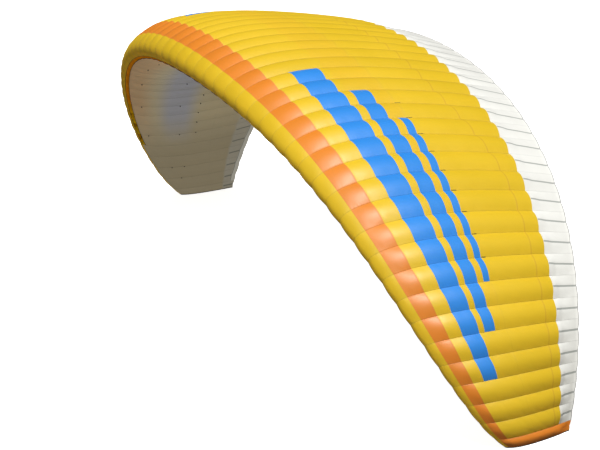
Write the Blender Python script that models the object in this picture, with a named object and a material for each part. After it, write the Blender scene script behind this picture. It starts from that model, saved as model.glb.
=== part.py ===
"""A paraglider wing of 51 cells, 11.75 m across when flat, standing on the flat ends of its two tips.

+X is the wing's right tip, -Y is the way it flies and +Z is up. The wing is hollow: an upper sail of coloured
strips, a lower sail, and a rib at every seam. Air enters between the nose strip's lip and the lower sail.
Everything is laid out on a span fraction, 0 at the middle and 1 or -1 at a tip, and on a chord fraction, 0 at
the nose and 1 at the trailing edge. A chord fraction below zero lies on the lower side of the section.
"""

import math

import bpy
import numpy as np

# Plan and arch of the wing, in metres and degrees
HALF_ARC = 5.875
ROOT_CHORD = 2.75
CHORD_LOSS = (1.55, 0.04, 0.48)  # taken off the chord by span fraction to the powers 2, 4 and 6
NOSE_SWEEP = (0.96, -0.41, 0.68)  # moves the nose back by span fraction to the powers 2, 4 and 6
TIP_SETBACK = 0.050  # rounds the front corner of each tip
TIP_ROUND_REACH = 0.42
TIP_TILT = 90.0
TILT_EVEN_SHARE = 0.39  # share of the tilt that grows evenly, the rest grows with the cube
INCIDENCE = 2.6
INCIDENCE_GAIN = 2.8

# Section, as shares of the chord
THICKNESS = 0.20
CAMBER = 0.009
CAMBER_PLACE = 0.30

# Cells
CELL_COUNT = 51
CELL_TAPER = 0.42  # share of its width that a cell has lost by the tip
CELL_TAPER_POWER = 2.3
TIP_CELL_SHARE = 0.63
CLOSED_CELLS = 5  # at each tip, with no air intake

# Puff of the cloth between two seams, as a share of the cell's width
UPPER_PUFF = 0.13
LOWER_PUFF = 0.07
NOSE_PUFF_SHARE = 0.12
NOSE_PUFF_REACH = 0.12
PUFF_FADE_START = 0.84

# Borders of the cloth strips, as chord fractions
LIP = -0.008
LOWER_FRONT = -0.027
NOSE_BORDER = 0.037
BAND_BORDER = 0.117
TRAIL_BORDER = 0.84
NOSE_STATIONS = (LIP, 0.0, 0.012, NOSE_BORDER)
BAND_STATIONS = (NOSE_BORDER, 0.072, BAND_BORDER)
MAIN_STATIONS = (BAND_BORDER, 0.20, 0.32, 0.48, 0.66, TRAIL_BORDER)
TRAIL_STATIONS = (TRAIL_BORDER, 0.91, 0.965, 1.0)
LOWER_STATIONS = (LIP, LOWER_FRONT, -0.09, -0.22, -0.42, -0.64, -0.84, -0.965, -1.0)
RIB_END = 0.965

# Cloth, stiffened as solids
SHEET = 0.002
RIB_SHEET = 0.001
END_RIB_SHEET = 0.002
TRAIL_HALF = 0.0026  # half the thickness of the trailing edge
SEAM_GAP = 0.0004
RIB_GAP = 0.0006

# Finish of the cloth: colour, roughness
COLOURS = {
    "yellow": ((0.88, 0.60, 0.02, 1.0), 0.55),
    "orange": ((0.92, 0.29, 0.02, 1.0), 0.55),
    "white": ((0.88, 0.88, 0.86, 1.0), 0.60),
    "grey_white": ((0.72, 0.72, 0.68, 1.0), 0.60),
    "rib_white": ((0.80, 0.80, 0.78, 1.0), 0.65),
}


def even_polynomial(fraction, factors):
    """Sum of the factors times the fraction to the powers 2, 4 and 6."""
    square = np.square(fraction)
    return factors[0] * square + factors[1] * square**2 + factors[2] * square**3


def tip_setback(span):
    """How far the nose is set back near a tip, in metres, growing with the cube of the way along the arch."""
    from_tip = (1.0 - np.abs(span)) * HALF_ARC
    return TIP_SETBACK * np.clip(1.0 - from_tip / TIP_ROUND_REACH, 0.0, 1.0) ** 3


def chord_at(span):
    return ROOT_CHORD - even_polynomial(span, CHORD_LOSS) - tip_setback(span)


def arc_table(steps=400):
    """Span fraction, sideways place, height and tilt along one half of the arch."""
    span = np.linspace(0.0, 1.0, steps + 1)
    tilt = math.radians(TIP_TILT) * (TILT_EVEN_SHARE * span + (1.0 - TILT_EVEN_SHARE) * span**3)
    step = HALF_ARC / steps
    side = np.concatenate([[0.0], np.cumsum((np.cos(tilt[1:]) + np.cos(tilt[:-1])) / 2 * step)])
    drop = np.concatenate([[0.0], np.cumsum((np.sin(tilt[1:]) + np.sin(tilt[:-1])) / 2 * step)])
    return span, side, drop[-1] - drop, tilt


ARC = arc_table()


def seam_spans():
    """Span fraction of each of the 52 seams, from the right tip to the left one."""
    half = (CELL_COUNT - 1) // 2
    rank = np.arange(half + 1)
    width = 1.0 - CELL_TAPER * (rank / half) ** CELL_TAPER_POWER
    width[-1] *= TIP_CELL_SHARE
    reach = np.cumsum(width) - width[0] / 2
    reach /= reach[-1]
    return np.concatenate([reach[::-1], -reach])


def half_cell_spans():
    """Span fraction of every seam and of every cell's middle, in turn."""
    seams = seam_spans()
    spans = np.empty(2 * len(seams) - 1)
    spans[0::2] = seams
    spans[1::2] = (seams[:-1] + seams[1:]) / 2
    return spans


def section(chord_fraction):
    """Place and outward normal on a section of unit chord.

    The square root of the chord fraction, below zero on the lower side, is the running value, because the
    section's outline is smooth in it right round the nose.
    """

    def outline(root):
        along = root**2
        half = 0.2969 * root
        half += np.sign(root) * (-0.1260 * along - 0.3516 * along**2 + 0.2843 * along**3 - 0.1036 * along**4)
        ahead = CAMBER / CAMBER_PLACE**2 * (2 * CAMBER_PLACE * along - along**2)
        behind = (1 - 2 * CAMBER_PLACE) + 2 * CAMBER_PLACE * along - along**2
        behind = CAMBER / (1 - CAMBER_PLACE) ** 2 * behind
        return along, 5 * THICKNESS * half + np.where(along < CAMBER_PLACE, ahead, behind)

    fraction = np.asarray(chord_fraction, dtype=float)
    root = np.sign(fraction) * np.sqrt(np.abs(fraction))
    step = 1e-4
    before = outline(root - step)
    after = outline(root + step)
    run = after[0] - before[0]
    rise = after[1] - before[1]
    length = np.hypot(run, rise)
    along, up = outline(root)
    return along, up, -rise / length, run / length


def puff_share(chord_fraction):
    """How far the cloth puffs out, 1 in full: less round the nose, nothing at the trailing edge."""
    along = np.abs(chord_fraction)
    start = np.clip(along / NOSE_PUFF_REACH, 0.0, 1.0)
    fade = np.clip((1.0 - along) / (1.0 - PUFF_FADE_START), 0.0, 1.0)
    return (NOSE_PUFF_SHARE + (1.0 - NOSE_PUFF_SHARE) * start) * fade


def wing_points(span, chord_fraction, inset, puff):
    """Points of the cloth, set in from the outline by inset metres and puffed out by puff metres."""
    reach = np.abs(span)
    hand = np.where(span < 0, -1.0, 1.0)
    side = np.interp(reach, ARC[0], ARC[1]) * hand
    height = np.interp(reach, ARC[0], ARC[2])
    tilt = np.interp(reach, ARC[0], ARC[3])
    chord = chord_at(span)
    pitch = np.radians(INCIDENCE + INCIDENCE_GAIN * span**2)
    along, up, out_along, out_up = section(chord_fraction)
    up = up * chord + np.sign(chord_fraction) * TRAIL_HALF * along
    along = along * chord + out_along * (puff - inset)
    up = up + out_up * (puff - inset)
    back = along * np.cos(pitch) + up * np.sin(pitch)
    rise = up * np.cos(pitch) - along * np.sin(pitch)
    nose = even_polynomial(span, NOSE_SWEEP) + tip_setback(span)
    return np.stack([side + rise * np.sin(tilt) * hand, nose + back, height + rise * np.cos(tilt)], axis=-1)


def new_object(name, points, faces, colour, parent):
    mesh = bpy.data.meshes.new(name)
    mesh.from_pydata(points.tolist(), [], faces)
    mesh.materials.append(cloth(colour))
    mesh.validate()
    thing = bpy.data.objects.new(name, mesh)
    thing.parent = parent
    bpy.context.scene.collection.objects.link(thing)
    return thing


def cloth(colour):
    """The material of one colour of cloth."""
    if colour in bpy.data.materials:
        return bpy.data.materials[colour]
    material = bpy.data.materials.new(colour)
    material.use_nodes = True
    shader = material.node_tree.nodes["Principled BSDF"]
    shader.inputs["Base Color"].default_value = COLOURS[colour][0]
    shader.inputs["Roughness"].default_value = COLOURS[colour][1]
    shader.inputs["Metallic"].default_value = 0.0
    return material


def sheet_faces(kept):
    """Faces of a closed sheet over a grid of quads, of which only the kept ones are cloth.

    The outer grid's points come first and the inner grid's after them. A quad is cut in two from its corner
    at the front of a seam to the one at the back of a cell's middle, alike on both grids, so the sheet is as
    thick all over. Each edge of a kept quad that has no kept neighbour gets a wall between the two.
    """
    rows, columns = kept.shape
    wide = columns + 1
    inner = (rows + 1) * wide
    faces = []
    for i, j in zip(*np.nonzero(kept)):
        a, b, c, d = i * wide + j, (i + 1) * wide + j, (i + 1) * wide + j + 1, i * wide + j + 1
        halves = ((a, b, c), (a, c, d)) if i % 2 == 0 else ((a, b, d), (b, c, d))
        for half in halves:
            faces.append(half)
            faces.append(tuple(corner + inner for corner in reversed(half)))
        sides = (((i, j - 1), a, b), ((i + 1, j), b, c), ((i, j + 1), c, d), ((i - 1, j), d, a))
        for (row, column), start, end in sides:
            inside = 0 <= row < rows and 0 <= column < columns
            if not (inside and kept[row, column]):
                faces.append((end, start, start + inner, end + inner))
    return faces


def used_only(points, faces):
    """The points that the faces use, and the faces renumbered to them."""
    used = sorted({corner for face in faces for corner in face})
    place = {corner: rank for rank, corner in enumerate(used)}
    return points[used], [tuple(place[corner] for corner in face) for face in faces]


def add_sail(name, colour, stations, first_seam, last_seam, puff, parent, cut=None):
    """A strip of cloth over the cells between two seams and over a row of chord stations.

    cut names the cells, from one seam to another, and the number of station gaps at the front that they lack.
    """
    spans = half_cell_spans()[2 * first_seam : 2 * last_seam + 1]
    seams = seam_spans()
    widths = np.abs(np.diff(seams))[first_seam:last_seam] * HALF_ARC
    swell = np.zeros(len(spans))
    swell[1::2] = puff * widths
    if first_seam > 0:
        spans[0] -= SEAM_GAP / 2 / HALF_ARC
    if last_seam < CELL_COUNT:
        spans[-1] += SEAM_GAP / 2 / HALF_ARC
    grid = np.repeat(np.array(stations)[None, :], len(spans), axis=0)
    margin = SEAM_GAP / 2 / chord_at(spans)
    backward = np.sign(stations[-1])
    if stations[0] != LIP or backward < 0:
        grid[:, 0] += backward * margin
    if abs(stations[-1]) < 1.0:
        grid[:, -1] -= backward * margin
    across = spans[:, None]
    lift = swell[:, None] * puff_share(grid)
    outer = wing_points(across, grid, 0.0, lift)
    inner = wing_points(across, grid, SHEET, lift)
    points = np.concatenate([outer.reshape(-1, 3), inner.reshape(-1, 3)])
    kept = np.ones((len(spans) - 1, len(stations) - 1), dtype=bool)
    if cut:
        start, end, gaps = cut
        kept[2 * (start - first_seam) : 2 * (end - first_seam), :gaps] = False
    faces = sheet_faces(kept)
    if backward > 0:
        faces = [face[::-1] for face in faces]
    points, faces = used_only(points, faces)
    return new_object(name, points, faces, colour, parent)


def add_rib(seam, parent):
    """The flat rib of one seam. The two end ribs lie flush with the ends of the sails."""
    span = seam_spans()[seam]
    upper = NOSE_STATIONS + BAND_STATIONS[1:] + MAIN_STATIONS[1:] + TRAIL_STATIONS[1:]
    upper = [place for place in upper if place <= RIB_END]
    lower = [place for place in LOWER_STATIONS[1:] if place >= -RIB_END]
    places = np.array(lower[::-1] + upper)
    count = len(places)
    outline = wing_points(np.full(count, span), places, SHEET + RIB_GAP, np.zeros(count))
    tilt = np.interp(abs(span), ARC[0], ARC[3])
    hand = math.copysign(1.0, span)
    outward = np.array([math.cos(tilt) * hand, 0.0, -math.sin(tilt)])
    if seam in (0, CELL_COUNT):
        near, far = 0.0, -END_RIB_SHEET
    else:
        near, far = RIB_SHEET / 2, -RIB_SHEET / 2
    points = np.concatenate([outline + near * outward, outline + far * outward])
    faces = [tuple(range(count)), tuple(range(2 * count - 1, count - 1, -1))]
    for corner in range(count):
        follower = (corner + 1) % count
        faces.append((follower, corner, corner + count, follower + count))
    if hand > 0:
        faces = [face[::-1] for face in faces]
    return new_object(f"rib_{seam + 1:02d}", points, faces, "rib_white", parent)


def build():
    for old in list(bpy.data.objects):
        bpy.data.objects.remove(old)
    frame = bpy.data.objects.new("wing_frame", None)
    bpy.context.scene.collection.objects.link(frame)
    last = CELL_COUNT
    tip_stations = BAND_STATIONS + MAIN_STATIONS[1:] + TRAIL_STATIONS[1:]
    intakes = (CLOSED_CELLS, last - CLOSED_CELLS, 1)
    things = [
        add_sail("upper_nose_strip", "yellow", NOSE_STATIONS, 0, last, UPPER_PUFF, frame),
        add_sail("upper_front_band", "orange", BAND_STATIONS, 1, last - 1, UPPER_PUFF, frame),
        add_sail("upper_main_sail", "yellow", MAIN_STATIONS, 1, last - 1, UPPER_PUFF, frame),
        add_sail("upper_trailing_strip", "white", TRAIL_STATIONS, 1, last - 1, UPPER_PUFF, frame),
        add_sail("tip_panel_right", "orange", tip_stations, 0, 1, UPPER_PUFF, frame),
        add_sail("tip_panel_left", "orange", tip_stations, last - 1, last, UPPER_PUFF, frame),
        add_sail("lower_sail", "grey_white", LOWER_STATIONS, 0, last, LOWER_PUFF, frame, intakes),
    ]
    things += [add_rib(seam, frame) for seam in range(last + 1)]
    depth = np.array([corner[1] for thing in things for corner in thing.bound_box])
    frame.location.y = -(depth.min() + depth.max()) / 2


build()
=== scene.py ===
import math

import bpy
import numpy as np
from mathutils import Matrix


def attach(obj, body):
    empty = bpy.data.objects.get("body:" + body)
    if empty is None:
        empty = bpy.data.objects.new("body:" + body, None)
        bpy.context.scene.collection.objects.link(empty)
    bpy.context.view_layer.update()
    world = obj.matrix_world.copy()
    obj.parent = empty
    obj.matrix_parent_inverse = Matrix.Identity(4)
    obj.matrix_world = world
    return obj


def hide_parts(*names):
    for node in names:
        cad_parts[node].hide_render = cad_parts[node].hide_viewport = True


# A paraglider wing of 51 cells in coated ripstop nylon, standing inflated on the flat ends of its two tips.
# +X is the wing's right tip, -Y the way it flies and +Z up. A place on the cloth is a seam number, 0 at the
# right tip and 51 at the left, and a chord fraction, 0 at the nose and 1 or -1 at the trailing edge, below
# zero on the lower side. Lengths are in metres.

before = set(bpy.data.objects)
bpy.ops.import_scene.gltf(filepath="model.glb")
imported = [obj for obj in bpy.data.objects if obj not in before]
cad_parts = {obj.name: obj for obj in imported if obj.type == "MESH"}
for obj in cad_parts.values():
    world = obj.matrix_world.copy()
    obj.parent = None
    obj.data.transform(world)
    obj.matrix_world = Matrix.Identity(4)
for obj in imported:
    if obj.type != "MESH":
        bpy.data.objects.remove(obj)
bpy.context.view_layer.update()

# --------------------------------------------------------------------------------------------------------
# Nose strip: yellow coated ripstop nylon, one panel for each cell, wrapped round the nose from the lip of
# the air intakes to the front band. It is sewn to every rib and kept round by the thin rods that lie
# behind it.

HALF_ARC = 5.875  # along the arch from the middle to a tip
ROOT_CHORD = 2.75
CHORD_LOSS = (1.55, 0.04, 0.48)
NOSE_SWEEP = (0.96, -0.41, 0.68)
TIP_SETBACK = 0.050
TIP_ROUND_REACH = 0.42
TIP_TILT = 90.0
TILT_EVEN_SHARE = 0.39
INCIDENCE = 2.6
INCIDENCE_GAIN = 2.8
THICKNESS = 0.20
SECTION_SHARES = (0.2969, -0.1260, -0.3516, 0.2843, -0.1036)  # of the root, and of powers 1 to 4
CAMBER = 0.009
CAMBER_PLACE = 0.30
TRAIL_HALF = 0.0026
MIDDLE = 1.371552  # from the nose of the middle cell back to the middle of the wing's depth
CELL_COUNT = 51
CELL_TAPER = 0.42
CELL_TAPER_POWER = 2.3
TIP_CELL_SHARE = 0.63
CELL_STEPS = 12
UPPER_PUFF = 0.13
NOSE_PUFF_SHARE = 0.12
NOSE_PUFF_REACH = 0.12
PUFF_FADE_START = 0.84
SHORT_RIB_START = 0.858
SHORT_RIB_SOFT = 0.04
SHORT_RIB_FULLNESS = 0.80
CREASE_DEPTH = 0.25
CREASE_HALF = 0.22
CUT_SCATTER = 0.05
TIP_CELL_EXTRA = 0.5
PUCKER_SPACING = (0.15, 0.23)
PUCKER_REACH = 0.024
EDGE_SCALLOP = 0.008
HEM = 0.028
HEM_CLOSES = 0.0014
LIP = -0.0175
LIP_PUFF = 0.022
LIP_PUFF_FROM = 0.010
LIP_PUFF_FULL = -0.004
LIP_TAUT_FROM = -0.003
NOSE_BORDER = 0.037
CLOTH = 0.001
REAR_SEAM = 0.762
REAR_SEAM_BEND = 0.08
REAR_SEAM_BENDS = (7.0, 13.5)  # seams from the middle of the wing
MEAN_CHORD = 2.2
GRID = 0.005  # between two of the thicker threads
STITCH_GAP = 0.0045  # from a seam to its stitches
STITCHES_PER_METRE = 280.0
STITCH_SHARE = 0.62
YELLOW = (0.77, 0.528, 0.002)
REAR_SEAM_PAINTED_SHADOW = (0.70, 0.40, 0.003)
SHORT_RIB_SHADE = (0.16, 0.20, 0.18)
TACK_BLACK = (0.02, 0.02, 0.02)


def even_polynomial(fraction, factors):
    """Sum of the factors times the fraction to the powers 2, 4 and 6."""
    square = np.square(fraction)
    return factors[0] * square + factors[1] * square**2 + factors[2] * square**3


def soft_step(value):
    """0 below 0, 1 above 1 and three squares less two cubes between."""
    value = np.clip(value, 0.0, 1.0)
    return value * value * (3.0 - 2.0 * value)


def arch_line(steps=400):
    """Span fraction, sideways place, height and tilt along one half of the arch.

    The tilt grows partly with the span fraction and partly with its cube, and the line is summed along it.
    """
    span = np.linspace(0.0, 1.0, steps + 1)
    tilt = math.radians(TIP_TILT) * (TILT_EVEN_SHARE * span + (1.0 - TILT_EVEN_SHARE) * span**3)
    step = HALF_ARC / steps
    side = np.concatenate([[0.0], np.cumsum((np.cos(tilt[1:]) + np.cos(tilt[:-1])) / 2 * step)])
    drop = np.concatenate([[0.0], np.cumsum((np.sin(tilt[1:]) + np.sin(tilt[:-1])) / 2 * step)])
    return span, side, drop[-1] - drop, tilt


def seam_spans():
    """Span fraction of each of the 52 seams.

    A cell loses width with a power of its rank from the middle, and the cell at a tip is narrower still.
    """
    half = (CELL_COUNT - 1) // 2
    rank = np.arange(half + 1)
    width = 1.0 - CELL_TAPER * (rank / half) ** CELL_TAPER_POWER
    width[-1] *= TIP_CELL_SHARE
    reach = np.cumsum(width) - width[0] / 2
    reach /= reach[-1]
    return np.concatenate([reach[::-1], -reach])


ARCH = arch_line()
SEAMS = seam_spans()
CELL_WIDTHS = np.abs(np.diff(SEAMS)) * HALF_ARC


def span_at(seam):
    """Span fraction of a seam number, straight between two seams."""
    return np.interp(seam, np.arange(CELL_COUNT + 1), SEAMS)


def tip_setback(seam):
    """How far the nose is set back near a tip: the setback times the cube of the way into the reach."""
    from_tip = (1.0 - np.abs(span_at(seam))) * HALF_ARC
    return TIP_SETBACK * np.clip(1.0 - from_tip / TIP_ROUND_REACH, 0.0, 1.0) ** 3


def chord_at(seam):
    """Chord: the middle chord less an even polynomial of the span fraction and less the tip's setback."""
    return ROOT_CHORD - even_polynomial(span_at(seam), CHORD_LOSS) - tip_setback(seam)


def section(fraction):
    """Place and outward normal on a section of unit chord.

    The half thickness is five times the thickness, times shares of the root and of four powers of the chord
    fraction. It is laid on a line that rises as one parabola to the camber's place and falls as another
    behind it. The normal is square to the outline's run.
    """

    def outline(root):
        along = root**2
        root_share, *shares = SECTION_SHARES
        powers = sum(share * along**power for power, share in enumerate(shares, 1))
        half = 5 * THICKNESS * (root_share * root + np.sign(root) * powers)
        ahead = CAMBER / CAMBER_PLACE**2 * (2 * CAMBER_PLACE * along - along**2)
        behind = (1 - 2 * CAMBER_PLACE) + 2 * CAMBER_PLACE * along - along**2
        behind = CAMBER / (1 - CAMBER_PLACE) ** 2 * behind
        return along, half + np.where(along < CAMBER_PLACE, ahead, behind)

    root = np.sign(fraction) * np.sqrt(np.abs(fraction))
    before, after = outline(root - 1e-4), outline(root + 1e-4)
    run, rise = after[0] - before[0], after[1] - before[1]
    length = np.hypot(run, rise)
    along, up = outline(root)
    return along, up, -rise / length, run / length


def wing_surface(seam, fraction, raised):
    """Points raised out from the section at a seam number.

    The section is scaled by the chord, turned nose up by the incidence, swept back by an even polynomial of
    the span fraction, and leant outward by the arch's tilt. Near the trailing edge it is drawn in at the
    short ribs and not at the seams, by one less a parabola from a short rib to the next, times the square
    of the way to the edge. Beyond the edge the two sails lie flat together as a hem, on the line that the
    camber ends with.
    """
    span = span_at(seam)
    between = np.mod(seam - 0.5, 1.0)
    to_edge = (np.abs(fraction) - PUFF_FADE_START) / (1.0 - PUFF_FADE_START)
    drawn = EDGE_SCALLOP * np.square(np.clip(to_edge, 0.0, 1.0))
    fraction = fraction - np.sign(fraction) * drawn * (1 - 4 * between * (1 - between)) / chord_at(seam)
    reach, hand = np.abs(span), np.where(span < 0, -1.0, 1.0)
    side = np.interp(reach, ARCH[0], ARCH[1]) * hand
    height = np.interp(reach, ARCH[0], ARCH[2])
    tilt = np.interp(reach, ARCH[0], ARCH[3])
    chord = chord_at(seam)
    pitch = np.radians(INCIDENCE + INCIDENCE_GAIN * span**2)
    beyond = np.maximum(np.abs(fraction) - 1.0, 0.0) * chord
    along, up, out_along, out_up = section(np.clip(fraction, -1.0, 1.0))
    half_gap = TRAIL_HALF * along - HEM_CLOSES * np.minimum(beyond / HEM, 1.0)
    hem_drop = 2 * CAMBER / (1 - CAMBER_PLACE) * beyond
    up = up * chord + np.sign(fraction) * half_gap - hem_drop + out_up * raised
    along = (along * chord + beyond) + out_along * raised
    back = along * np.cos(pitch) + up * np.sin(pitch)
    rise = up * np.cos(pitch) - along * np.sin(pitch)
    nose = even_polynomial(span, NOSE_SWEEP) + tip_setback(seam) - MIDDLE
    return np.stack([side + rise * np.sin(tilt) * hand, nose + back, height + rise * np.cos(tilt)], axis=-1)


def outline_length(fraction):
    """Cloth from the nose for a chord of one metre, summed along the section and below zero beneath.

    Beyond the trailing edge it goes on with the chord fraction.
    """
    fine = np.linspace(-1.0, 1.0, 2001) ** 3
    along, up, _, _ = section(fine)
    length = np.concatenate([[0.0], np.cumsum(np.hypot(np.diff(along), np.diff(up)))])
    beyond = np.sign(fraction) * np.maximum(np.abs(fraction) - 1.0, 0.0)
    return np.interp(fraction, fine, length - np.interp(0.0, fine, length)) + beyond


def chance(number):
    """An even scatter from 0 to 1 for a whole number: what follows the point in a sine many times over."""
    wild = np.sin(number * 12.9898 + 4.137) * 43758.5453
    return wild - np.floor(wild)


def cell_of(seam):
    """The cell that a seam number lies in, its whole part, and how far across it lies, the rest."""
    cell = np.clip(np.floor(seam + 1e-9), 0, CELL_COUNT - 1).astype(int)
    return cell, seam - cell


def puff(seam, fraction, fullness):
    """How far the air lifts the cloth between two seams.

    A parabola over the cell's width, weaker at the nose and gone at the trailing edge. Over the short ribs
    it is flatter, with a squared crease down its middle. Each cell is cut a little fuller or flatter than
    the next, and the two narrow tip cells are the fullest.
    """
    cell, across = cell_of(seam)
    whole = 4 * across * (1 - across)
    crease = np.maximum(1 - np.abs(across - 0.5) / CREASE_HALF, 0.0) ** 2
    creased = SHORT_RIB_FULLNESS * whole - CREASE_DEPTH * crease
    over = soft_step((np.abs(fraction) - SHORT_RIB_START) / SHORT_RIB_SOFT)
    start = np.clip(np.abs(fraction) / NOSE_PUFF_REACH, 0.0, 1.0)
    fade = np.clip((1.0 - np.abs(fraction)) / (1.0 - PUFF_FADE_START), 0.0, 1.0)
    share = (NOSE_PUFF_SHARE + (1.0 - NOSE_PUFF_SHARE) * start) * fade
    at_tip = (cell == 0) | (cell == CELL_COUNT - 1)
    cut = 1.0 + CUT_SCATTER * (chance(cell) - 0.5) + TIP_CELL_EXTRA * at_tip
    return fullness * cut * CELL_WIDTHS[cell] * share * (whole + (creased - whole) * over)


def lip_puff(seam, fraction):
    """Added to the puff under the nose: a fuller parabola, then none at all, so that the lip is straight.

    A soft step brings the added fullness in just behind the nose's front, and another takes all of it out
    again, with the puff itself, towards the lip.
    """
    cell, across = cell_of(seam)
    under = soft_step((LIP_PUFF_FROM - fraction) / (LIP_PUFF_FROM - LIP_PUFF_FULL))
    added = LIP_PUFF * CELL_WIDTHS[cell] * 4 * across * (1 - across) * under
    taut = soft_step((LIP_TAUT_FROM - fraction) / (LIP_TAUT_FROM - LIP))
    return added * (1 - taut) - puff(seam, fraction, UPPER_PUFF) * taut


def puckers(seam, fraction, depth):
    """Troughs that run off both sides of a seam.

    Their depth is the gap from the seam times a falling exponential, times the square of a wavering sine
    along the chord where that is above zero. Its length and start differ from side to side of every seam.
    """
    cell, across = cell_of(seam)
    gap = np.minimum(across, 1 - across) * CELL_WIDTHS[cell]
    luck = chance(2 * cell + np.where(across < 0.5, 0, 1))
    along = np.abs(outline_length(fraction)) * chord_at(seam)
    spacing = PUCKER_SPACING[0] + (PUCKER_SPACING[1] - PUCKER_SPACING[0]) * luck
    wave = np.sin(2 * np.pi * (along / spacing + 5 * luck) + 1.7 * np.sin(along * 7 + 9 * luck))
    reach = gap / PUCKER_REACH
    return -depth * np.maximum(wave, 0.0) ** 2 * reach * np.exp(1 - reach)


def seam_rows(first, last):
    """Seam numbers from one seam to another as a column, with the steps of a cell between two seams."""
    return np.linspace(first, last, (last - first) * CELL_STEPS + 1)[:, None]


def root_rows(start, end, count):
    """Chord fractions whose signed roots are evenly spaced, so that they crowd at the nose."""
    start, end = (math.copysign(abs(value) ** 0.5, value) for value in (start, end))
    root = np.linspace(start, end, count)
    return (np.sign(root) * root**2)[None, :]


def with_hem(seams, fractions):
    """A grid of chord fractions that end at 1 or -1, with two more columns for the hem behind that edge."""
    hem = fractions[0, -1] * (1.0 + HEM * np.array([[0.5, 1.0]]) / chord_at(seams))
    return np.concatenate([np.broadcast_to(fractions, (len(seams), fractions.shape[1])), hem], axis=1)


def into_scene(name, data):
    """An object in the scene that shows a mesh, a light or a camera."""
    thing = bpy.data.objects.new(name, data)
    bpy.context.scene.collection.objects.link(thing)
    return thing


def cloth_mesh(name, points, faces, flat, material):
    """A smooth mesh of four-sided faces, with its flat map and its material."""
    mesh = bpy.data.meshes.new(name)
    mesh.from_pydata(points, [], faces)
    cloth_map = mesh.uv_layers.new(name="cloth")
    cloth_map.data.foreach_set("uv", flat[faces.reshape(-1)].astype(np.float32).reshape(-1))
    mesh.shade_smooth()
    mesh.materials.append(material)
    return mesh


def edge_ends(mesh):
    """The numbers of the two points of each edge."""
    ends = np.empty(2 * len(mesh.edges), dtype=np.int32)
    mesh.edges.foreach_get("vertices", ends)
    return ends.reshape(-1, 2)


def border_edges(mesh, faces):
    """Which edges lie on the border of a mesh: those with a single face beside them."""
    key = np.array([len(mesh.vertices), 1])
    sides = np.stack([faces, np.roll(faces, -1, axis=1)], axis=-1).reshape(-1, 2)
    numbers, uses = np.unique(np.sort(sides, axis=1) @ key, return_counts=True)
    return np.isin(np.sort(edge_ends(mesh), axis=1) @ key, numbers[uses == 1])


def sharpen(mesh, chosen):
    """Marks the chosen edges as sharp."""
    sharp = mesh.attributes.new("sharp_edge", "BOOLEAN", "EDGE")
    sharp.data.foreach_set("value", chosen)


def thickened(name, mesh, thickness, side):
    """The object of a mesh, made thicker on its outer side where side is 1 and its inner where it is -1."""
    sheet = into_scene(name, mesh)
    thick = sheet.modifiers.new("thickness", "SOLIDIFY")
    thick.thickness = thickness
    thick.offset = side
    return sheet


def flat_area(points, faces):
    """Half the length of the cross product of each face's diagonals, summed."""
    corners = points[faces]
    crossed = np.cross(corners[:, 2] - corners[:, 0], corners[:, 3] - corners[:, 1])
    return float(np.linalg.norm(crossed, axis=1).sum() / 2)


def sew_sheet(name, material, seams, fractions, raised, kept=None):
    """A sheet on a grid of seam numbers and chord fractions, with the cloth's thickness on its inner side.

    Its map is the metres of cloth across the span and along the chord. It also carries the seam number, the
    chord fraction, and the gaps to the nearest seam, to the middle of the cell and to the rear seam. Returns
    the object, the longest flat width and length, and the flat area.
    """
    seams, fractions = np.broadcast_arrays(seams, fractions)
    points = wing_surface(seams, fractions, raised)
    rows, columns = seams.shape
    corner = np.arange((rows - 1) * columns).reshape(rows - 1, columns)[:, :-1]
    faces = np.stack([corner, corner + columns, corner + columns + 1, corner + 1], axis=-1)
    if fractions[0, -1] > 0:
        faces = faces[..., ::-1]
    if kept is not None:
        faces = faces[kept]
    used, faces = np.unique(faces.reshape(-1, 4), return_inverse=True)
    faces = faces.reshape(-1, 4)
    cloth_across = (1.0 - span_at(seams)) * HALF_ARC
    cloth_along = outline_length(fractions) * chord_at(seams)
    flat = np.stack([cloth_across, cloth_along], axis=-1).reshape(-1, 2)[used]
    mesh = cloth_mesh(name, points.reshape(-1, 3)[used], faces, flat, material)

    cell, across = cell_of(seams)
    gap = np.minimum(across, 1 - across) * CELL_WIDTHS[cell]
    near, far = REAR_SEAM_BENDS
    bend = soft_step((far - np.abs(seams - CELL_COUNT / 2)) / (far - near))
    carried = {
        "seam_number": seams,
        "chord_fraction": fractions,
        "seam_gap": gap,
        "short_rib_gap": CELL_WIDTHS[cell] / 2 - gap,
        "rear_seam_gap": (fractions - (REAR_SEAM - REAR_SEAM_BEND * bend)) * chord_at(seams),
    }
    for attribute, values in carried.items():
        layer = mesh.attributes.new(attribute, "FLOAT", "POINT")
        layer.data.foreach_set("value", values.reshape(-1)[used].astype(np.float32))

    ends = used[edge_ends(mesh)]
    row, column = ends // columns, ends % columns
    along_chord = row[:, 0] == row[:, 1]
    step = row[:, 0] % CELL_STEPS
    behind = np.abs(fractions[row[:, 0], column.min(axis=1)]) > SHORT_RIB_START + 0.01
    creased = (step == 0) | (step == CELL_STEPS // 2) & behind
    sharpen(mesh, along_chord & creased | border_edges(mesh, faces))
    width = np.linalg.norm(np.diff(points, axis=0), axis=-1).sum(axis=0).max()
    length = np.linalg.norm(np.diff(points, axis=1), axis=-1).sum(axis=1).max()
    area = flat_area(points.reshape(-1, 3)[used], faces)
    return thickened(name, mesh, CLOTH, -1.0), (float(width), float(length)), area


def new_finish(name):
    """A material with its nodes and its shader."""
    material = bpy.data.materials.new(name)
    material.use_nodes = True
    return material, material.node_tree, material.node_tree.nodes["Principled BSDF"]


def work(tree, operation, *values):
    """A Math node on sockets or numbers."""
    node = tree.nodes.new("ShaderNodeMath")
    node.operation = operation
    for socket, value in zip(node.inputs, values):
        if isinstance(value, bpy.types.NodeSocket):
            tree.links.new(value, socket)
        else:
            socket.default_value = value
    return node.outputs[0]


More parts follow.
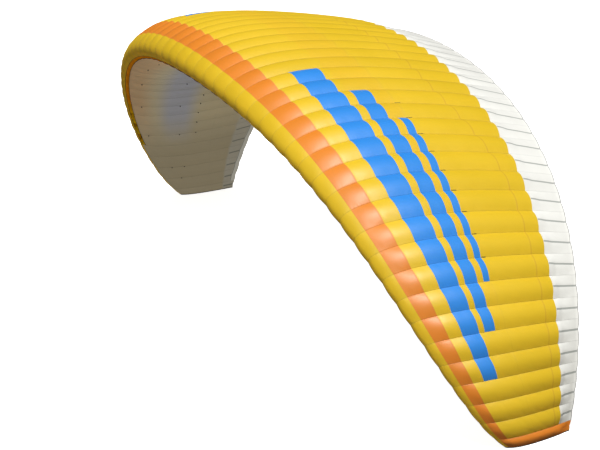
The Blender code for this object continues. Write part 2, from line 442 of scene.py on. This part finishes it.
def summed(tree, start, *terms):
    """The start plus each term, which is a value times its factor."""
    for value, factor in terms:
        start = work(tree, "MULTIPLY_ADD", value, factor, start)
    return start


def ramp(tree, value, start, end):
    """A soft step of a value, from 0 at start to 1 at end."""
    node = tree.nodes.new("ShaderNodeMapRange")
    node.interpolation_type = "SMOOTHSTEP"
    node.inputs["From Min"].default_value = start
    node.inputs["From Max"].default_value = end
    tree.links.new(value, node.inputs["Value"])
    return node.outputs["Result"]


def line(tree, gap, half, soft):
    """1 within half of a line and 0 beyond half and soft, from the gap to the line, of either sign."""
    return work(tree, "SUBTRACT", 1.0, ramp(tree, work(tree, "ABSOLUTE", gap), half, half + soft))


def within(tree, value, low, high, soft):
    """1 between two values and 0 outside them, over a soft border."""
    above = ramp(tree, value, low - soft, low + soft)
    below = ramp(tree, value, high - soft, high + soft)
    return work(tree, "SUBTRACT", above, below)


def crossed_threads(tree, across, along, half, soft):
    """1 on the lines of a grid of thicker threads: each way is folded back and forth at half the grid."""
    ways = (line(tree, work(tree, "PINGPONG", way, GRID / 2), half, soft) for way in (across, along))
    return work(tree, "MAXIMUM", *ways)


def cloud(tree, vector, scale, detail, stretch=(1.0, 1.0, 1.0)):
    """Soft noise about one half, on the given coordinates, stretched by the given factors."""
    mapping = tree.nodes.new("ShaderNodeMapping")
    mapping.inputs["Scale"].default_value = stretch
    tree.links.new(vector, mapping.inputs["Vector"])
    noise = tree.nodes.new("ShaderNodeTexNoise")
    noise.inputs["Scale"].default_value = scale
    noise.inputs["Detail"].default_value = detail
    tree.links.new(mapping.outputs[0], noise.inputs["Vector"])
    return noise.outputs["Fac"]


def carried_value(tree, name):
    """A value that the mesh carries on its points."""
    node = tree.nodes.new("ShaderNodeAttribute")
    node.attribute_name = name
    return node.outputs["Fac"]


def cloth_ways(tree):
    """The cloth's flat map, and its two ways apart."""
    cloth_map = tree.nodes.new("ShaderNodeUVMap")
    cloth_map.uv_map = "cloth"
    parts = tree.nodes.new("ShaderNodeSeparateXYZ")
    tree.links.new(cloth_map.outputs["UV"], parts.inputs[0])
    return cloth_map.outputs["UV"], parts.outputs[0], parts.outputs[1]


def blend_colour(tree, share, first, second, how="MIX"):
    """Two colours, each a socket or three numbers, blended by a share in the way that how names."""
    node = tree.nodes.new("ShaderNodeMix")
    node.data_type = "RGBA"
    node.blend_type = how
    for socket, value in ((node.inputs[0], share), (node.inputs[6], first), (node.inputs[7], second)):
        if isinstance(value, bpy.types.NodeSocket):
            tree.links.new(value, socket)
        elif isinstance(value, tuple):
            socket.default_value = (*value, 1.0)
        else:
            socket.default_value = value
    return node.outputs[2]


def shaded(tree, colour, brightness):
    """A colour times a brightness."""
    grey = tree.nodes.new("ShaderNodeCombineColor")
    for socket in grey.inputs[:3]:
        tree.links.new(brightness, socket)
    return blend_colour(tree, 1.0, colour, grey.outputs[0], "MULTIPLY")


def raise_by(tree, shader, height, strength, distance):
    """A bump on a shader: the height times a distance, at a strength."""
    bump = tree.nodes.new("ShaderNodeBump")
    bump.inputs["Strength"].default_value = strength
    bump.inputs["Distance"].default_value = distance
    tree.links.new(height, bump.inputs["Height"])
    tree.links.new(bump.outputs[0], shader.inputs["Normal"])


def ripstop(name, colour, zones=(), cross_seams=(), rear_seam=False, short_ribs=False, tacks=(), glow=0.25):
    """Coated ripstop nylon of one colour, with zones of other colours and its sewing.

    The weave is a grid of thicker threads over a fine grain. Each seam is a fold with a groove and two rows
    of stitches, and the cloth puckers beside it. The colour darkens along each fold, partly painted shade of
    its groove. Panels differ a little in shade. A zone is a colour, two chord fractions, two seam numbers,
    how soft its borders are along the chord and across it, and its strength. Tacks are short dark bars
    along a seam: two chord fractions and two seam numbers. The glow is the share of the light that comes
    through.
    """
    material, tree, shader = new_finish(name)
    flat, across, along = cloth_ways(tree)
    seam, fraction = carried_value(tree, "seam_number"), carried_value(tree, "chord_fraction")
    gap, short_gap = carried_value(tree, "seam_gap"), carried_value(tree, "short_rib_gap")

    shade = colour
    for zone_colour, low, high, first, last, soft, strength in zones:
        lengthwise = within(tree, fraction, low, high, soft[0])
        inside = work(tree, "MULTIPLY", lengthwise, within(tree, seam, first, last, soft[1]))
        shade = blend_colour(tree, work(tree, "MULTIPLY", inside, strength), shade, zone_colour)

    folds_and_groove_shade = line(tree, gap, 0.0008, 0.0022)
    doubled = line(tree, gap, 0.009, 0.002)
    stitch_rows = line(tree, work(tree, "SUBTRACT", gap, STITCH_GAP), 0.0003, 0.0005)
    for place in cross_seams:
        away = work(tree, "MULTIPLY", work(tree, "SUBTRACT", fraction, place), MEAN_CHORD)
        beside = work(tree, "SUBTRACT", work(tree, "ABSOLUTE", away), STITCH_GAP)
        fold = work(tree, "MULTIPLY", line(tree, away, 0.0004, 0.0010), 0.2)
        folds_and_groove_shade = work(tree, "MAXIMUM", folds_and_groove_shade, fold)
        doubled = work(tree, "MAXIMUM", doubled, line(tree, away, 0.010, 0.002))
        stitch_rows = work(tree, "MAXIMUM", stitch_rows, line(tree, beside, 0.0003, 0.0005))
    if rear_seam:
        away = carried_value(tree, "rear_seam_gap")
        fold = work(tree, "MULTIPLY", line(tree, away, 0.0006, 0.0012), 0.6)
        # Painted shadow of a strap seen through the cloth: a wider, deeper band along the rear seam.
        painted_strap_shadow = work(tree, "MULTIPLY", line(tree, away, 0.005, 0.004), 0.45)
        shade = blend_colour(tree, painted_strap_shadow, shade, REAR_SEAM_PAINTED_SHADOW)
        folds_and_groove_shade = work(tree, "MAXIMUM", folds_and_groove_shade, fold)
        doubled = work(tree, "MAXIMUM", doubled, line(tree, away, 0.008, 0.002))
    if short_ribs:
        behind = ramp(tree, work(tree, "ABSOLUTE", fraction), PUFF_FADE_START, PUFF_FADE_START + 0.004)
        short_folds = work(tree, "MULTIPLY", behind, line(tree, short_gap, 0.0075, 0.003))
        shade = blend_colour(tree, work(tree, "MULTIPLY", short_folds, 0.5), shade, SHORT_RIB_SHADE)
        folds_and_groove_shade = work(tree, "MAXIMUM", folds_and_groove_shade, short_folds)
    for low, high, first, last in tacks:
        beside = line(tree, gap, 0.0035, 0.001)
        at_seams = work(tree, "MULTIPLY", within(tree, seam, first, last, 0.1), beside)
        bar = work(tree, "MULTIPLY", within(tree, fraction, low, high, 0.001), at_seams)
        shade = blend_colour(tree, bar, shade, TACK_BLACK)
    stitch = work(tree, "FRACT", work(tree, "MULTIPLY", along, STITCHES_PER_METRE))
    stitches = work(tree, "MULTIPLY", stitch_rows, work(tree, "LESS_THAN", stitch, STITCH_SHARE))

    panel = tree.nodes.new("ShaderNodeTexWhiteNoise")
    panel.noise_dimensions = "1D"
    tree.links.new(work(tree, "FLOOR", seam), panel.inputs["W"])
    fade = cloud(tree, flat, 1.7, 3.0)
    threads = crossed_threads(tree, across, along, 0.00012, 0.0003)
    worn_shade = ((panel.outputs["Value"], 0.035), (fade, 0.08))
    # The folds darken the colour along each seam: partly the folded cloth itself, partly painted shade of
    # its groove.
    sewing_and_groove_shade = ((folds_and_groove_shade, -0.18), (doubled, -0.025), (stitches, 0.10))
    brightness = summed(tree, 0.945, *worn_shade, (threads, -0.035), *sewing_and_groove_shade)
    colour_out = shaded(tree, shade, brightness)
    tree.links.new(colour_out, shader.inputs["Base Color"])

    grain = cloud(tree, flat, 900.0, 2.0)
    beside = line(tree, gap, 0.0, 0.055)
    pulls = work(tree, "MULTIPLY", cloud(tree, flat, 1.0, 3.0, (14.0, 55.0, 1.0)), beside)
    waves = cloud(tree, flat, 1.0, 2.0, (9.0, 3.5, 1.0))
    weave = ((threads, 0.06), (grain, 0.03))
    sewing = ((folds_and_groove_shade, -0.7), (doubled, 0.25), (stitches, 0.25))
    raise_by(tree, shader, summed(tree, 0.0, *weave, (pulls, 2.2), (waves, 3.0), *sewing), 0.8, 0.001)
    tree.links.new(summed(tree, 0.45, (fade, 0.12), (doubled, 0.08)), shader.inputs["Roughness"])
    shader.inputs["IOR"].default_value = 1.6
    shader.inputs["Specular IOR Level"].default_value = 0.80

    through = tree.nodes.new("ShaderNodeBsdfTranslucent")
    tree.links.new(colour_out, through.inputs["Color"])
    mix = tree.nodes.new("ShaderNodeMixShader")
    mix.inputs[0].default_value = glow
    tree.links.new(shader.outputs[0], mix.inputs[1])
    tree.links.new(through.outputs[0], mix.inputs[2])
    tree.links.new(mix.outputs[0], tree.nodes["Material Output"].inputs["Surface"])
    return material


seams = seam_rows(0, CELL_COUNT)
fractions = root_rows(LIP, NOSE_BORDER, 19)
nose_strip, flat, area = sew_sheet(
    "nose_strip",
    ripstop("yellow_nose_cloth", YELLOW),
    seams,
    fractions,
    puff(seams, fractions, UPPER_PUFF) + lip_puff(seams, fractions) + puckers(seams, fractions, 0.0010),
)
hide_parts("upper_nose_strip")
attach(nose_strip, "root")

# --------------------------------------------------------------------------------------------------------
# Front band: orange panels behind the nose strip, over every cell but the two at the tips. Same coated
# ripstop, joined to its neighbours by a flat double seam.

BAND_BORDER = 0.117
ORANGE = (0.77, 0.243, 0.006)

seams = seam_rows(1, CELL_COUNT - 1)
fractions = root_rows(NOSE_BORDER, BAND_BORDER, 11)
front_band, flat, area = sew_sheet(
    "front_band",
    ripstop("orange_band_cloth", ORANGE, cross_seams=(NOSE_BORDER, BAND_BORDER)),
    seams,
    fractions,
    puff(seams, fractions, UPPER_PUFF) + puckers(seams, fractions, 0.0016),
)
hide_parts("upper_front_band")
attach(front_band, "root")

# --------------------------------------------------------------------------------------------------------
# Main sail: yellow panels from the front band to the trailing strip, with three plain blue stripes let
# into each half of the wing. One cross seam joins the panels at their middle and another nearer the
# trailing strip. Painted shade, a slightly deeper yellow, lies in front of the first.

TRAIL_BORDER = 0.84
CROSS_SEAM = 0.475
MAIN_ROWS = 62
BLUE = (0.014, 0.262, 0.77)
PAINTED_SHADE_YELLOW = (0.78, 0.48, 0.006)
STRIPES = ((0.195, 0.300, 4, 20), (0.335, 0.405, 6, 18), (0.440, 0.475, 8, 16))
STRIPE_BORDERS = (0.0004, 0.003)
TACKS = ((0.478, 0.502, 8.5, 17.5), (0.478, 0.502, 33.5, 42.5))

# Painted shade: deeper yellow over the middle cells, from 0.33 of the chord to the cross seam.
painted_shade_band = (PAINTED_SHADE_YELLOW, 0.33, CROSS_SEAM, 8, 43, (0.002, 3.0), 0.35)
stripes = [
    (BLUE, low, high, *between, STRIPE_BORDERS, 1.0)
    for low, high, first, last in STRIPES
    for between in ((first, last), (CELL_COUNT - last, CELL_COUNT - first))
]
cross_seams = (BAND_BORDER, CROSS_SEAM, TRAIL_BORDER)
seams = seam_rows(1, CELL_COUNT - 1)
fractions = np.linspace(BAND_BORDER, TRAIL_BORDER, MAIN_ROWS)[None, :]
main_sail, flat, area = sew_sheet(
    "main_sail",
    ripstop("yellow_sail_cloth", YELLOW, [painted_shade_band, *stripes], cross_seams, rear_seam=True, tacks=TACKS),
    seams,
    fractions,
    puff(seams, fractions, UPPER_PUFF) + puckers(seams, fractions, 0.0022),
)
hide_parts("upper_main_sail")
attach(main_sail, "root")

# --------------------------------------------------------------------------------------------------------
# Trailing strip: white panels to the trailing edge. Short ribs halve each cell there, so the strip is
# tighter and lies in narrow pleats, and its edge is drawn in a little between them. Its hem lies behind.

WHITE = (0.785, 0.785, 0.745)
TRAIL_ROWS = 22

seams = seam_rows(1, CELL_COUNT - 1)
fractions = with_hem(seams, np.linspace(TRAIL_BORDER, 1.0, TRAIL_ROWS)[None, :])
trailing_strip, flat, area = sew_sheet(
    "trailing_strip",
    ripstop("white_cloth", WHITE, (), (TRAIL_BORDER,), short_ribs=True, glow=0.12),
    seams,
    fractions,
    puff(seams, fractions, UPPER_PUFF) + puckers(seams, fractions, 0.0022) * (fractions < 0.999),
)
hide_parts("upper_trailing_strip")
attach(trailing_strip, "root")

# --------------------------------------------------------------------------------------------------------
# Tip panels: one narrow orange panel closes the upper side of each tip cell, from the nose strip to the
# trailing edge. Its outer edge is sewn to the end rib that the wing stands on, and painted shade darkens
# the outer half of the panel.

TIP_ROWS = 70
TIP_PAINTED_SHADE = (0.36, 0.105, 0.003)

# Painted shade over the outer half of each tip panel, by the end rib.
painted_tip_shade = [
    (TIP_PAINTED_SHADE, -1.0, 0.80, *between, (0.07, 0.20), 0.62) for between in ((-2, 0.55), (50.45, 53))
]
tip_cloth = ripstop("orange_tip_cloth", ORANGE, painted_tip_shade, (NOSE_BORDER,))
for name, first in (("tip_panel_right", 0), ("tip_panel_left", CELL_COUNT - 1)):
    seams = seam_rows(first, first + 1)
    fractions = with_hem(seams, root_rows(NOSE_BORDER, 1.0, TIP_ROWS))
    panel, flat, area = sew_sheet(
        f"cloth_{name}",
        tip_cloth,
        seams,
        fractions,
        puff(seams, fractions, UPPER_PUFF) + puckers(seams, fractions, 0.0012) * (fractions < 0.999),
    )
    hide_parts(name)
    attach(panel, "root")

# --------------------------------------------------------------------------------------------------------
# Lower sail: pale grey panels from the rear lip of the intakes to the trailing edge, or from the nose
# strip in the five closed cells at each tip. Painted light tints it faintly with the upper sail's colours,
# which light carries through, and painted shade darkens it towards the tips.

CLOSED_CELLS = 5
LOWER_PUFF = 0.07
LOWER_FRONT = 0.072
LOWER_FRONT_LIMIT = 0.040
LOWER_CROSS_SEAM = -0.62
LOWER_ROWS = 68
ROW_POWER = 0.7
PALE = (0.74, 0.68, 0.54)
LOWER_TIP_PAINTED_SHADE = (0.44, 0.39, 0.29)
PAINTED_ORANGE_LIGHT = (0.80, 0.46, 0.24)
PAINTED_WHITE_LIGHT = (0.71, 0.69, 0.62)
PAINTED_YELLOW_LIGHT = (0.76, 0.63, 0.36)
PAINTED_BLUE_LIGHT = (0.53, 0.57, 0.74)


def lower_front(seam):
    """The chord fraction of the sail's front edge: a given distance behind the nose, within a limit."""
    return np.maximum(-LOWER_FRONT / chord_at(seam), -LOWER_FRONT_LIMIT)


# Painted light: faint tints of the orange band, white strip, yellow sail and blue stripes above, for light
# that comes through.
painted_shine_through = [
    # Painted shade: darker cloth on the lower sail near both tips.
    (LOWER_TIP_PAINTED_SHADE, -1.1, 0.1, 44.5, 60, (0.02, 2.5), 0.80),
    (LOWER_TIP_PAINTED_SHADE, -1.1, 0.1, -9, 6.5, (0.02, 2.5), 0.80),
    (PAINTED_ORANGE_LIGHT, -0.14, 0.10, 7, 44, (0.06, 3.0), 0.80),
    (PAINTED_WHITE_LIGHT, -1.10, -0.83, -9, 60, (0.02, 1.0), 0.60),
    (PAINTED_YELLOW_LIGHT, -0.83, 0.10, -9, 60, (0.02, 1.0), 0.35),
]
for first, last in ((6.5, 19.0), (32.0, 44.5)):
    painted_shine_through.append((PAINTED_BLUE_LIGHT, -0.43, -0.23, first, last, (0.06, 2.0), 0.80))
    painted_shine_through.append((PAINTED_YELLOW_LIGHT, -0.78, -0.50, first, last, (0.06, 2.0), 0.35))
seams = seam_rows(0, CELL_COUNT)
front = lower_front(seams)
closed = LIP + (front - LIP) * np.linspace(0.0, 1.0, 4)[None, :]
start = (-front) ** ROW_POWER
open_part = -(start + (1.0 - start) * np.linspace(0.0, 1.0, LOWER_ROWS)[None, :]) ** (1 / ROW_POWER)
fractions = with_hem(seams, np.concatenate([closed, open_part[:, 1:]], axis=1))
kept = np.ones((len(seams) - 1, fractions.shape[1] - 1), dtype=bool)
kept[CLOSED_CELLS * CELL_STEPS : -CLOSED_CELLS * CELL_STEPS, : closed.shape[1] - 1] = False
lower_sail, flat, area = sew_sheet(
    "lower_sail_cloth",
    ripstop("pale_lower_cloth", PALE, painted_shine_through, (LOWER_CROSS_SEAM,), short_ribs=True, glow=0.12),
    seams,
    fractions,
    puff(seams, fractions, LOWER_PUFF) + puckers(seams, fractions, 0.0020) * (fractions > -0.999),
    kept,
)
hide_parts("lower_sail")
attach(lower_sail, "root")

# --------------------------------------------------------------------------------------------------------
# Ribs: stiffer white coated nylon cut to the section, one at every seam. They hold the two sails apart. The
# front of each, behind the air intake, is painted orange, and yellow towards the tips, with a faint painted
# glow: painted light for the sails' colours that light carries through onto them.

RIB_WHITE = (0.70, 0.69, 0.66)
RIB_PAINTED_ORANGE = (0.90, 0.40, 0.010)
RIB_PAINTED_YELLOW = (0.85, 0.62, 0.010)
PAINTED_PATCH_END = 0.125
YELLOW_BELOW = 1.2
ORANGE_ABOVE = 1.5
PAINTED_GLOW = 0.10

rib_cloth, tree, shader = new_finish("white_rib_cloth")
places = tree.nodes.new("ShaderNodeTexCoord").outputs["Object"]
parts = tree.nodes.new("ShaderNodeSeparateXYZ")
tree.links.new(places, parts.inputs[0])
back, height = parts.outputs[1], parts.outputs[2]
threads = crossed_threads(tree, back, height, 0.0002, 0.0003)
mottle = cloud(tree, places, 3.0, 4.0)
# Painted light: the rib fronts take the colours that come through the sails, orange high up and yellow low
# down, and glow faintly with them.
behind = ramp(tree, carried_value(tree, "chord_fraction"), PAINTED_PATCH_END, PAINTED_PATCH_END + 0.001)
painted_light_share = work(tree, "SUBTRACT", 1.0, behind)
painted_light_colour = blend_colour(tree, ramp(tree, height, YELLOW_BELOW, ORANGE_ABOVE), RIB_PAINTED_YELLOW, RIB_PAINTED_ORANGE)
painted_glow_colour = blend_colour(tree, painted_light_share, (0.0, 0.0, 0.0), painted_light_colour)
tree.links.new(painted_glow_colour, shader.inputs["Emission Color"])
shader.inputs["Emission Strength"].default_value = PAINTED_GLOW
brightness = summed(tree, 0.92, (mottle, 0.12), (threads, -0.05))
rib_colour = shaded(tree, blend_colour(tree, painted_light_share, RIB_WHITE, painted_light_colour), brightness)
tree.links.new(rib_colour, shader.inputs["Base Color"])
raise_by(tree, shader, summed(tree, 0.0, (threads, 0.08), (mottle, 2.0)), 0.6, 0.001)
tree.links.new(summed(tree, 0.5, (mottle, 0.2)), shader.inputs["Roughness"])
for name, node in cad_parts.items():
    if name.startswith("rib_"):
        seam = int(name[-2:]) - 1
        corners = np.empty(3 * len(node.data.vertices), dtype=np.float32)
        node.data.vertices.foreach_get("co", corners)
        nose = even_polynomial(span_at(seam), NOSE_SWEEP) + tip_setback(seam) - MIDDLE
        layer = node.data.attributes.new("chord_fraction", "FLOAT", "POINT")
        layer.data.foreach_set("value", ((corners[1::3] - nose) / chord_at(seam)).astype(np.float32))
        for place in node.material_slots:
            place.material = rib_cloth

# --------------------------------------------------------------------------------------------------------
# Trailing edge tape: a woven white tape folded round the hem behind both sails, 8 mm of it above and 65 mm
# below, sewn down with dark thread, from the first seam inside one tip to the last before the other.

TAPE_ABOVE = 0.008
TAPE_BELOW = 0.065
TAPE_FOLD = 0.0012
TAPE_RAISED = 0.0009
TAPE = 0.0006
TAPE_STEP_POWER = 1.2
TAPE_WHITE = (0.80, 0.80, 0.76)
TAPE_STITCHES = ((0.0080, 0.0078), (0.0725, 0.0032))


def tape_places(count):
    """Places across one side of a tape, from 1 at its own edge to 0 at its fold: a power of even steps."""
    return np.linspace(1.0, 0.0, count) ** TAPE_STEP_POWER


def lay_tape(name, material, points):
    """Strips of tape, each a grid of points in rows along it, thickened on the side that its faces show.

    Its map is the metres along and across a strip, summed from point to point. Returns the object, the flat
    length of all the strips end to end and the flat width, and the flat area.
    """
    strips, rows, columns = points.shape[:3]
    corner = np.arange(strips * rows * columns).reshape(strips, rows, columns)[:, :-1, :-1].reshape(-1, 1)
    faces = corner + np.array([0, 1, columns + 1, columns])
    along = np.linalg.norm(np.diff(points, axis=1), axis=-1)
    across = np.linalg.norm(np.diff(points, axis=2), axis=-1)
    run = np.cumsum(np.pad(along, ((0, 0), (1, 0), (0, 0))), axis=1)
    reach = np.cumsum(np.pad(across, ((0, 0), (0, 0), (1, 0))), axis=2)
    flat = np.stack([run, reach], axis=-1).reshape(-1, 2)
    points = points.reshape(-1, 3)
    mesh = cloth_mesh(name, points, faces, flat, material)
    sharpen(mesh, border_edges(mesh, faces))
    size = (float(run[:, -1].max(axis=1).sum()), float(reach[..., -1].max()))
    return thickened(name, mesh, TAPE, 1.0), size, flat_area(points, faces)


def webbing(name, colour, stitch_rows, roughness=0.6):
    """A woven tape with ribs across it every millimetre, and rows of darker stitches.

    A row is given by its way from the tape's edge and half its width.
    """
    material, tree, shader = new_finish(name)
    flat, lengthwise, across = cloth_ways(tree)
    ribs = work(tree, "MULTIPLY", work(tree, "PINGPONG", lengthwise, 0.0005), 2000.0)
    stitches = 0.0
    for place, half in stitch_rows:
        row = line(tree, work(tree, "SUBTRACT", across, place), half, 0.0005)
        stitches = work(tree, "MAXIMUM", stitches, row)
    soil = cloud(tree, flat, 6.0, 4.0)
    brightness = summed(tree, 0.82, (soil, 0.18), (ribs, 0.10), (stitches, -0.62))
    tree.links.new(shaded(tree, colour, brightness), shader.inputs["Base Color"])
    raise_by(tree, shader, work(tree, "SUBTRACT", ribs, stitches), 0.7, 0.0003)
    tree.links.new(summed(tree, roughness, (soil, 0.15)), shader.inputs["Roughness"])
    return material


seams = seam_rows(1, CELL_COUNT - 1)
places = 1.0 + (HEM - tape_places(4)[None, :] * TAPE_ABOVE) / chord_at(seams)
upper_side = wing_surface(seams, places, TAPE_RAISED)
places = -1.0 - (HEM - tape_places(8)[None, ::-1] * TAPE_BELOW) / chord_at(seams)
lower_side = wing_surface(seams, places, puff(seams, places, LOWER_PUFF) + TAPE_RAISED)
fold = (upper_side[:, -1:] + lower_side[:, :1]) / 2 + np.array([0.0, TAPE_FOLD, 0.0])
edge_webbing = webbing("white_edge_tape", TAPE_WHITE, TAPE_STITCHES, 0.55)
whole = np.concatenate([upper_side, fold, lower_side], axis=1)
trailing_tape, flat, area = lay_tape("trailing_edge_tape", edge_webbing, whole[None])
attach(trailing_tape, "root")

# --------------------------------------------------------------------------------------------------------
# Intake bindings: woven tape folded over the lips of the air intakes, from the first open cell to the
# last, black on the rear lip and olive on the nose strip's lip.

BINDING_HALF = 0.0045
BINDING_STITCHES = ((0.0030, 0.0006), (0.0085, 0.0006))
BLACK = (0.018, 0.018, 0.020)
OLIVE = (0.30, 0.20, 0.010)

seams = seam_rows(CLOSED_CELLS, CELL_COUNT - CLOSED_CELLS)
shares = np.linspace(1.0, 0.0, 4)[None, :]
for name, edge, side, fullness, rests, colour in (
    ("rear_lip_binding", lower_front(seams), -1.0, LOWER_PUFF, "lower_sail_cloth", BLACK),
    ("front_lip_binding", LIP, 1.0, UPPER_PUFF, "nose_strip", OLIVE),
):
    per_metre = 2e-4 / (outline_length(edge + 1e-4) - outline_length(edge - 1e-4))
    reach = edge + side * shares * BINDING_HALF / chord_at(seams) * per_metre
    lift = puff(seams, reach, fullness) + lip_puff(seams, reach) * (side > 0)
    outer = wing_surface(*np.broadcast_arrays(seams, reach), lift + TAPE_RAISED)
    inner = wing_surface(*np.broadcast_arrays(seams, reach), lift - CLOTH - TAPE_RAISED)[:, ::-1]
    if side > 0:
        outer, inner = inner[:, ::-1], outer[:, ::-1]
    fold = (outer[:, -1:] + inner[:, :1]) / 2
    binding = webbing(f"{name}_tape", colour, BINDING_STITCHES)
    tape, flat, area = lay_tape(name, binding, np.concatenate([outer, fold, inner], axis=1)[None])
    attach(tape, "root")

# --------------------------------------------------------------------------------------------------------
# Tip bindings: dark woven tape, some 10 mm wide, round the outer edge of each tip and its hem, over the
# seam that joins the two sails to the end rib.

TIP_BINDING = 0.010
TIP_DARK = (0.085, 0.070, 0.045)
TIP_STITCHES = ((0.0020, 0.0006),)

dark_tape = webbing("dark_tip_binding", TIP_DARK, TIP_STITCHES)
for name, edge, inward, rib in (
    ("tip_binding_right", 0, 1, "rib_01"),
    ("tip_binding_left", CELL_COUNT, -1, "rib_52"),
):
    seams = edge + inward * np.linspace(0.0, 1.0, 4)[None, :] * TIP_BINDING / CELL_WIDTHS[0]
    end = 1.0 + HEM / chord_at(edge)
    outline = inward * np.concatenate([[end], root_rows(1.0, -1.0, 161)[0], [-end]])[:, None]
    seams, outline = np.broadcast_arrays(seams, outline)
    lift = puff(seams, outline, np.where(outline > LIP, UPPER_PUFF, LOWER_PUFF)) + TAPE_RAISED
    tape, flat, area = lay_tape(name, dark_tape, wing_surface(seams, outline, lift)[None])
    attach(tape, "root")

# --------------------------------------------------------------------------------------------------------
# Line tabs: loops of dark webbing 10 mm wide sewn into the seams of the lower sail, 15 mm proud, in three
# rows and a few more towards the tips. The suspension lines would be tied to them.

TAB_HEIGHT = 0.016
TAB_SUNK = 0.001
TAB_SWELL = 0.0035
SWELL_PEAK = 1.3  # the most that a sine times one less its cosine comes to
TAB_HALF = 0.005
TAB_GREY = (0.045, 0.050, 0.055)
TAB_STITCHES = ((0.0015, 0.0004), (0.0085, 0.0004))
THIRD_SEAMS = (*range(6, 25, 3), *range(27, 46, 3))
TABS = (
    (0.100, THIRD_SEAMS),
    (0.345, THIRD_SEAMS),
    (0.480, (*range(6, 18), *range(34, 46))),
    (0.190, (3, 48)),
    (0.330, (3, 48)),
    (0.240, (2, 49)),
)

tab_seams = np.concatenate([np.array(seams, dtype=float) for _, seams in TABS])
tab_places = np.concatenate([np.full(len(seams), -place) for place, seams in TABS])
base = wing_surface(tab_seams, tab_places, 0.0)
out = (wing_surface(tab_seams, tab_places, 0.01) - base) / 0.01
chordwise = wing_surface(tab_seams, tab_places - 0.001, 0.0) - base
chordwise /= np.linalg.norm(chordwise, axis=-1, keepdims=True)
sideways = np.cross(chordwise, out)
turn = np.linspace(0.0, 2 * np.pi, 17)
rise = TAB_HEIGHT * (1 - np.cos(turn)) / 2 - TAB_SUNK
swell = TAB_SWELL * np.sin(turn) * (1 - np.cos(turn)) / SWELL_PEAK
loops = base[:, None] + rise[:, None] * out[:, None] + swell[:, None] * sideways[:, None]
loops = loops[:, :, None] + np.array([-TAB_HALF, TAB_HALF])[:, None] * chordwise[:, None, None]
tab_webbing = webbing("dark_tab_webbing", TAB_GREY, TAB_STITCHES)
tabs, flat, area = lay_tape("line_tabs", tab_webbing, loops)
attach(tabs, "root")

# --------------------------------------------------------------------------------------------------------
# Floor, light and camera: a plain pale floor under a pale sky, a broad light from high on the right, a
# weak lamp under the arch, and the camera in front of the right tip.

FLOOR_REACH = 160.0
FLOOR_PALE = (0.80, 0.80, 0.80, 1.0)
FLOOR_LIGHT = (1.0, 1.0, 1.0, 1.0)
SKY_BELOW = (0.36, 0.34, 0.29)
SKY_ABOVE = (0.42, 0.41, 0.39)
HIGH_LIGHT_TURN = (64.0, 65.5)
HIGH_LIGHT_AT = (6.0, -3.0, 12.0)
INNER_LIGHT_AT = (-0.4, -0.8, 1.2)
CAMERA_TURN = (70.15, 17.02, -3.65)
CAMERA_AT = (21.36, -7.92, 7.79)

floor_paint, _, shader = new_finish("floor_paint")
shader.inputs["Base Color"].default_value = FLOOR_PALE
shader.inputs["Roughness"].default_value = 0.9
shader.inputs["Specular IOR Level"].default_value = 0.0
shader.inputs["Emission Color"].default_value = FLOOR_LIGHT
shader.inputs["Emission Strength"].default_value = 0.80
floor_mesh = bpy.data.meshes.new("floor")
floor_corners = FLOOR_REACH * np.array([(-1, -1, 0), (1, -1, 0), (1, 1, 0), (-1, 1, 0)])
floor_mesh.from_pydata(floor_corners, [], [(0, 1, 2, 3)])
floor_mesh.materials.append(floor_paint)
floor = into_scene("floor", floor_mesh)
floor.visible_diffuse = False
floor.visible_glossy = False

world = bpy.data.worlds.new("studio")
world.use_nodes = True
bpy.context.scene.world = world
tree = world.node_tree
sky = tree.nodes["Background"]
direction = tree.nodes.new("ShaderNodeSeparateXYZ")
tree.links.new(tree.nodes.new("ShaderNodeTexCoord").outputs["Generated"], direction.inputs[0])
rise = ramp(tree, direction.outputs[2], -0.25, 0.35)
tree.links.new(blend_colour(tree, rise, SKY_BELOW, SKY_ABOVE), sky.inputs["Color"])
sky.inputs["Strength"].default_value = 1.0
world.cycles_visibility.glossy = False


def turned_to(azimuth, elevation, roll=0.0):
    """Rows of right, up and back for something that looks at the wing from an azimuth and an elevation.

    Back points out along the two angles, right is level and up is square to both, and the roll turns them.
    """
    a, e, r = (math.radians(angle) for angle in (azimuth, elevation, roll))
    back = np.array([math.sin(a) * math.cos(e), -math.cos(a) * math.cos(e), math.sin(e)])
    right = np.array([math.cos(a), math.sin(a), 0.0])
    up = np.cross(back, right)
    return np.stack([math.cos(r) * right + math.sin(r) * up, math.cos(r) * up - math.sin(r) * right, back])


def placed(turn, place):
    """The matrix of an object: the given rows as its columns, and the place beside them."""
    matrix = np.eye(4)
    matrix[:3, :3], matrix[:3, 3] = turn.T, place
    return Matrix(matrix.tolist())


high = bpy.data.lights.new("high_light", "SUN")
high.energy = 4.1
high.angle = math.radians(12.0)
into_scene("high_light", high).matrix_world = placed(turned_to(*HIGH_LIGHT_TURN), HIGH_LIGHT_AT)

inner = bpy.data.lights.new("inner_light", "POINT")
inner.energy = 30.0
inner.shadow_soft_size = 0.5
inner_light = into_scene("inner_light", inner)
inner_light.location = INNER_LIGHT_AT
inner_light.visible_camera = False

camera_data = bpy.data.cameras.new("camera")
camera_data.sensor_width = 36.0
camera_data.lens = 136.8
camera_data.clip_end = 400.0
camera = into_scene("camera", camera_data)
camera.matrix_world = placed(turned_to(*CAMERA_TURN), CAMERA_AT)
bpy.context.scene.camera = camera
bpy.context.scene.view_settings.view_transform = "Standard"
